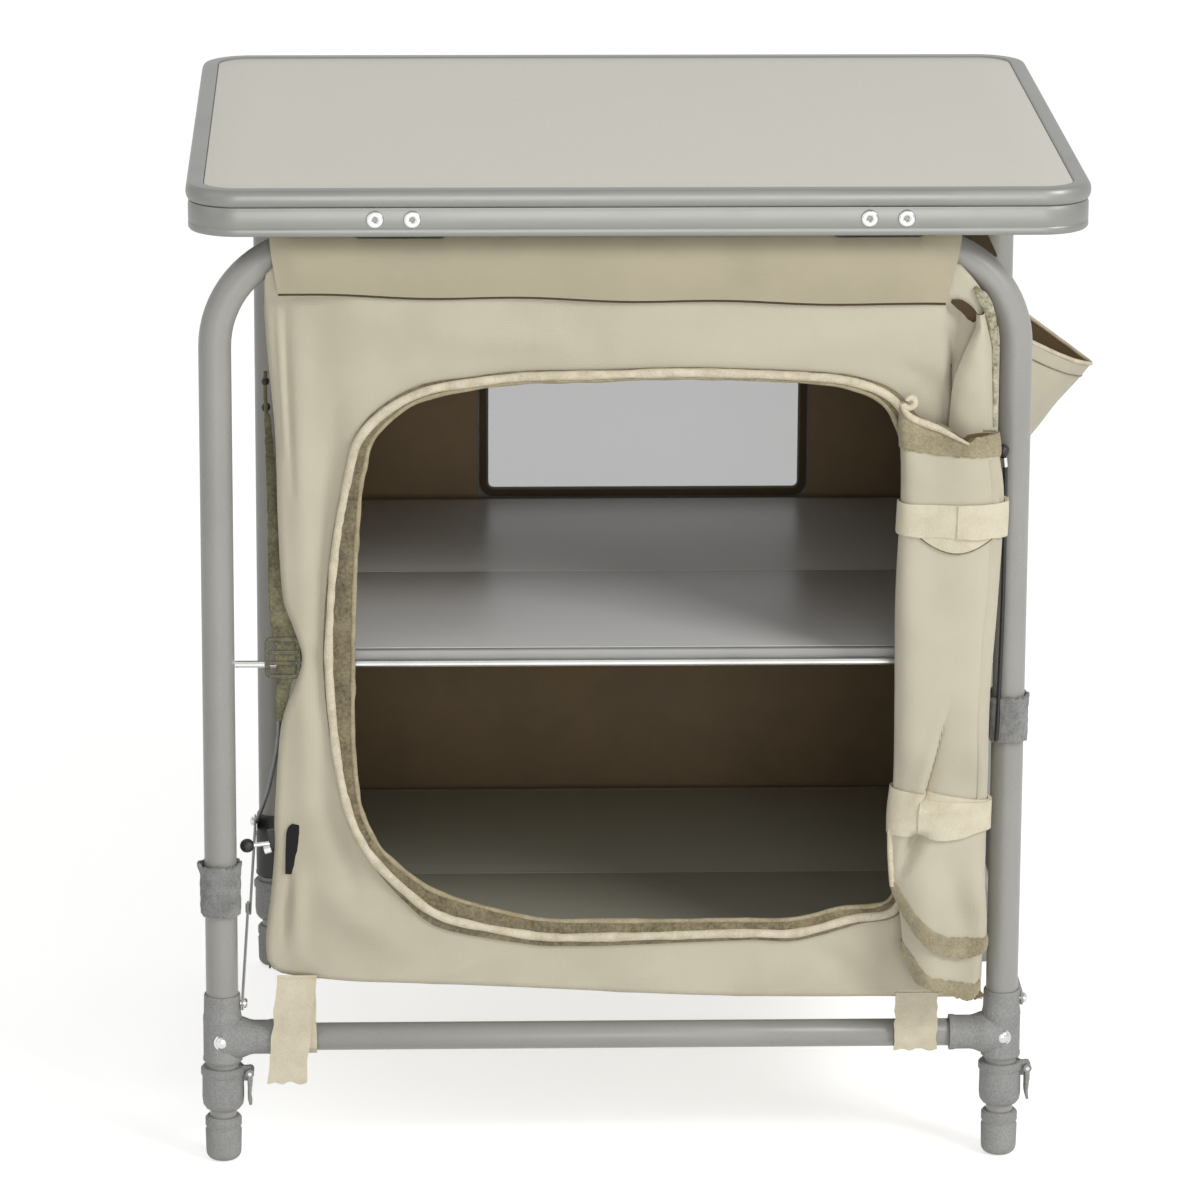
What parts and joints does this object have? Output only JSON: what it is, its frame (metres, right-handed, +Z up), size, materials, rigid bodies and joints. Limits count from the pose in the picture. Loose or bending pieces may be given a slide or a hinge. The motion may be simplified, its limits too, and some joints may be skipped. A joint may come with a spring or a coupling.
{
  "type": "folding camp shelf",
  "caption": "Fabric cupboard between two folding tube frames under a rimmed table top, with a shelf, rolled door, net window and side pocket.",
  "frame": {"origin": "centre of the whole shelf's floor area, on the ground", "axes": "+Z up, +Y to the back, +X to the side pocket; the door faces -Y"},
  "size_m": [0.62, 0.5124, 0.686],
  "materials": {
    "frame_paint": "satin grey powder coat",
    "rim_aluminium": "satin anodised",
    "table_laminate": "fine pebbled laminate on board",
    "canvas": "plain weave polyester, coated inside",
    "binding": "woven binding tape and zip tape",
    "window_net": "fine woven net",
    "webbing": "woven hook-and-loop webbing",
    "hook_tape": "hook-and-loop tape",
    "grey_plastic": "moulded, fine texture",
    "black_plastic": "moulded",
    "grey_rubber": "moulded, matt",
    "board_skin": "grey foil on board",
    "plated_steel": "zinc plated"
  },
  "bodies": {
    "rear_frame": {"rear_u_tube": "frame_paint", "rear_rail": "frame_paint", "rear_carrier_rod": "plated_steel", "rear_left_tee": "black_plastic", "rear_right_tee": "black_plastic", "rear_left_clamp_collar": "grey_plastic", "rear_right_clamp_collar": "grey_plastic", "rear_wall": "canvas", "rear_window_net": "window_net", "rear_sleeve": "canvas", "cupboard_base": "canvas", "cupboard_roof": "canvas", "left_side_wall": "canvas", "right_side_wall": "canvas", "side_pocket": "canvas"},
    "front_frame": {"front_u_tube": "frame_paint", "front_rail": "frame_paint", "front_carrier_rod": "plated_steel", "front_left_tee": "grey_plastic", "front_right_tee": "grey_plastic", "left_tee_rivet": "plated_steel", "right_tee_rivet": "plated_steel", "front_left_clamp_collar": "grey_plastic", "front_right_clamp_collar": "grey_plastic", "front_wall": "canvas", "front_valance": "canvas", "door_zip": "binding", "door_roll": "canvas", "upper_door_strap": "webbing", "lower_door_strap": "webbing", "left_leg_strap": "hook_tape", "right_leg_strap": "hook_tape", "left_hold_down_strap": "webbing", "right_hold_down_strap": "webbing"},
    "table_top": {"table_rim": "rim_aluminium", "table_board": "table_laminate", "left_front_bracket": "frame_paint", "right_front_bracket": "frame_paint", "left_hinge_clip": "frame_paint", "right_hinge_clip": "frame_paint", "rim_rivet_1": "plated_steel", "rim_rivet_2": "plated_steel", "rim_rivet_3": "plated_steel", "rim_rivet_4": "plated_steel"},
    "left_rear_stay": {"left_rear_stay_link": "plated_steel"},
    "left_front_stay": {"left_front_stay_link": "plated_steel"},
    "right_rear_stay": {"right_rear_stay_link": "plated_steel"},
    "right_front_stay": {"right_front_stay_link": "plated_steel"},
    "shelf_rear": {"shelf_rear_board": "board_skin"},
    "shelf_front": {"shelf_front_board": "board_skin"},
    "floor_rear": {"floor_rear_board": "board_skin"},
    "floor_front": {"floor_front_board": "board_skin"},
    "front_left_foot": {"front_left_boot_tube": "grey_rubber"},
    "front_left_lever": {"front_left_clamp_lever": "black_plastic"},
    "front_right_foot": {"front_right_boot_tube": "grey_rubber"},
    "front_right_lever": {"front_right_clamp_lever": "black_plastic"},
    "rear_left_foot": {"rear_left_boot_tube": "grey_rubber"},
    "rear_left_lever": {"rear_left_clamp_lever": "black_plastic"},
    "rear_right_foot": {"rear_right_boot_tube": "grey_rubber"},
    "rear_right_lever": {"rear_right_clamp_lever": "black_plastic"}
  },
  "joints": [
    {"name": "fold", "type": "hinge", "parent": "rear_frame", "child": "left_rear_stay", "pos_m": [-0.2775, 0.2162, 0.112], "axis": [-1, 0, 0], "range_deg": [0, 83], "deforming": ["left_side_wall", "right_side_wall", "cupboard_base", "cupboard_roof", "side_pocket"]},
    {"name": "left_stay_knee", "type": "hinge", "parent": "left_rear_stay", "child": "left_front_stay", "pos_m": [-0.2775, 0.0062, 0.112], "axis": [-1, 0, 0], "range_deg": [-166, 0]},
    {"name": "front_frame_pivot", "type": "hinge", "parent": "left_front_stay", "child": "front_frame", "pos_m": [-0.2775, -0.2038, 0.112], "axis": [-1, 0, 0], "range_deg": [0, 83]},
    {"name": "right_stay_pivot", "type": "hinge", "parent": "rear_frame", "child": "right_rear_stay", "pos_m": [0.2575, 0.2162, 0.112], "axis": [-1, 0, 0], "range_deg": [0, 83]},
    {"name": "right_stay_knee", "type": "hinge", "parent": "right_rear_stay", "child": "right_front_stay", "pos_m": [0.2575, 0.0062, 0.112], "axis": [-1, 0, 0], "range_deg": [-166, 0]},
    {"name": "shelf_rear_hinge", "type": "hinge", "parent": "rear_frame", "child": "shelf_rear", "pos_m": [-0.01, 0.2162, 0.353], "axis": [-1, 0, 0], "range_deg": [0, 83]},
    {"name": "shelf_middle_hinge", "type": "hinge", "parent": "shelf_rear", "child": "shelf_front", "pos_m": [-0.01, 0.0062, 0.353], "axis": [-1, 0, 0], "range_deg": [-166, 0]},
    {"name": "floor_rear_hinge", "type": "hinge", "parent": "rear_frame", "child": "floor_rear", "pos_m": [-0.01, 0.2162, 0.129], "axis": [-1, 0, 0], "range_deg": [0, 83]},
    {"name": "floor_middle_hinge", "type": "hinge", "parent": "floor_rear", "child": "floor_front", "pos_m": [-0.01, 0.0062, 0.129], "axis": [-1, 0, 0], "range_deg": [-166, 0]},
    {"name": "top_lift", "type": "hinge", "parent": "rear_frame", "child": "table_top", "pos_m": [-0.01, 0.2162, 0.6422], "axis": [-1, 0, 0], "range_deg": [0, 85]},
    {"name": "front_left_foot_slide", "type": "slide", "parent": "front_frame", "child": "front_left_foot", "axis": [0, 0, -1], "range_m": [0, 0.02]},
    {"name": "front_left_clamp", "type": "hinge", "parent": "front_frame", "child": "front_left_lever", "pos_m": [-0.2735, -0.2038, 0.0625], "axis": [0, -1, 0], "range_deg": [0, 80]},
    {"name": "front_right_foot_slide", "type": "slide", "parent": "front_frame", "child": "front_right_foot", "axis": [0, 0, -1], "range_m": [0, 0.02]},
    {"name": "front_right_clamp", "type": "hinge", "parent": "front_frame", "child": "front_right_lever", "pos_m": [0.2615, -0.2038, 0.0625], "axis": [0, -1, 0], "range_deg": [0, 80]},
    {"name": "rear_left_foot_slide", "type": "slide", "parent": "rear_frame", "child": "rear_left_foot", "axis": [0, 0, -1], "range_m": [0, 0.02]},
    {"name": "rear_left_clamp", "type": "hinge", "parent": "rear_frame", "child": "rear_left_lever", "pos_m": [-0.2445, 0.2162, 0.0625], "axis": [0, -1, 0], "range_deg": [0, 80]},
    {"name": "rear_right_foot_slide", "type": "slide", "parent": "rear_frame", "child": "rear_right_foot", "axis": [0, 0, -1], "range_m": [0, 0.02]},
    {"name": "rear_right_clamp", "type": "hinge", "parent": "rear_frame", "child": "rear_right_lever", "pos_m": [0.2905, 0.2162, 0.0625], "axis": [0, -1, 0], "range_deg": [0, 80]}
  ],
  "couplings": [
    {"joint": "left_stay_knee", "follows": "fold", "ratio": -2},
    {"joint": "front_frame_pivot", "follows": "fold", "ratio": 1},
    {"joint": "right_stay_pivot", "follows": "fold", "ratio": 1},
    {"joint": "right_stay_knee", "follows": "fold", "ratio": -2},
    {"joint": "shelf_rear_hinge", "follows": "fold", "ratio": 1},
    {"joint": "shelf_middle_hinge", "follows": "fold", "ratio": -2},
    {"joint": "floor_rear_hinge", "follows": "fold", "ratio": 1},
    {"joint": "floor_middle_hinge", "follows": "fold", "ratio": -2}
  ]
}
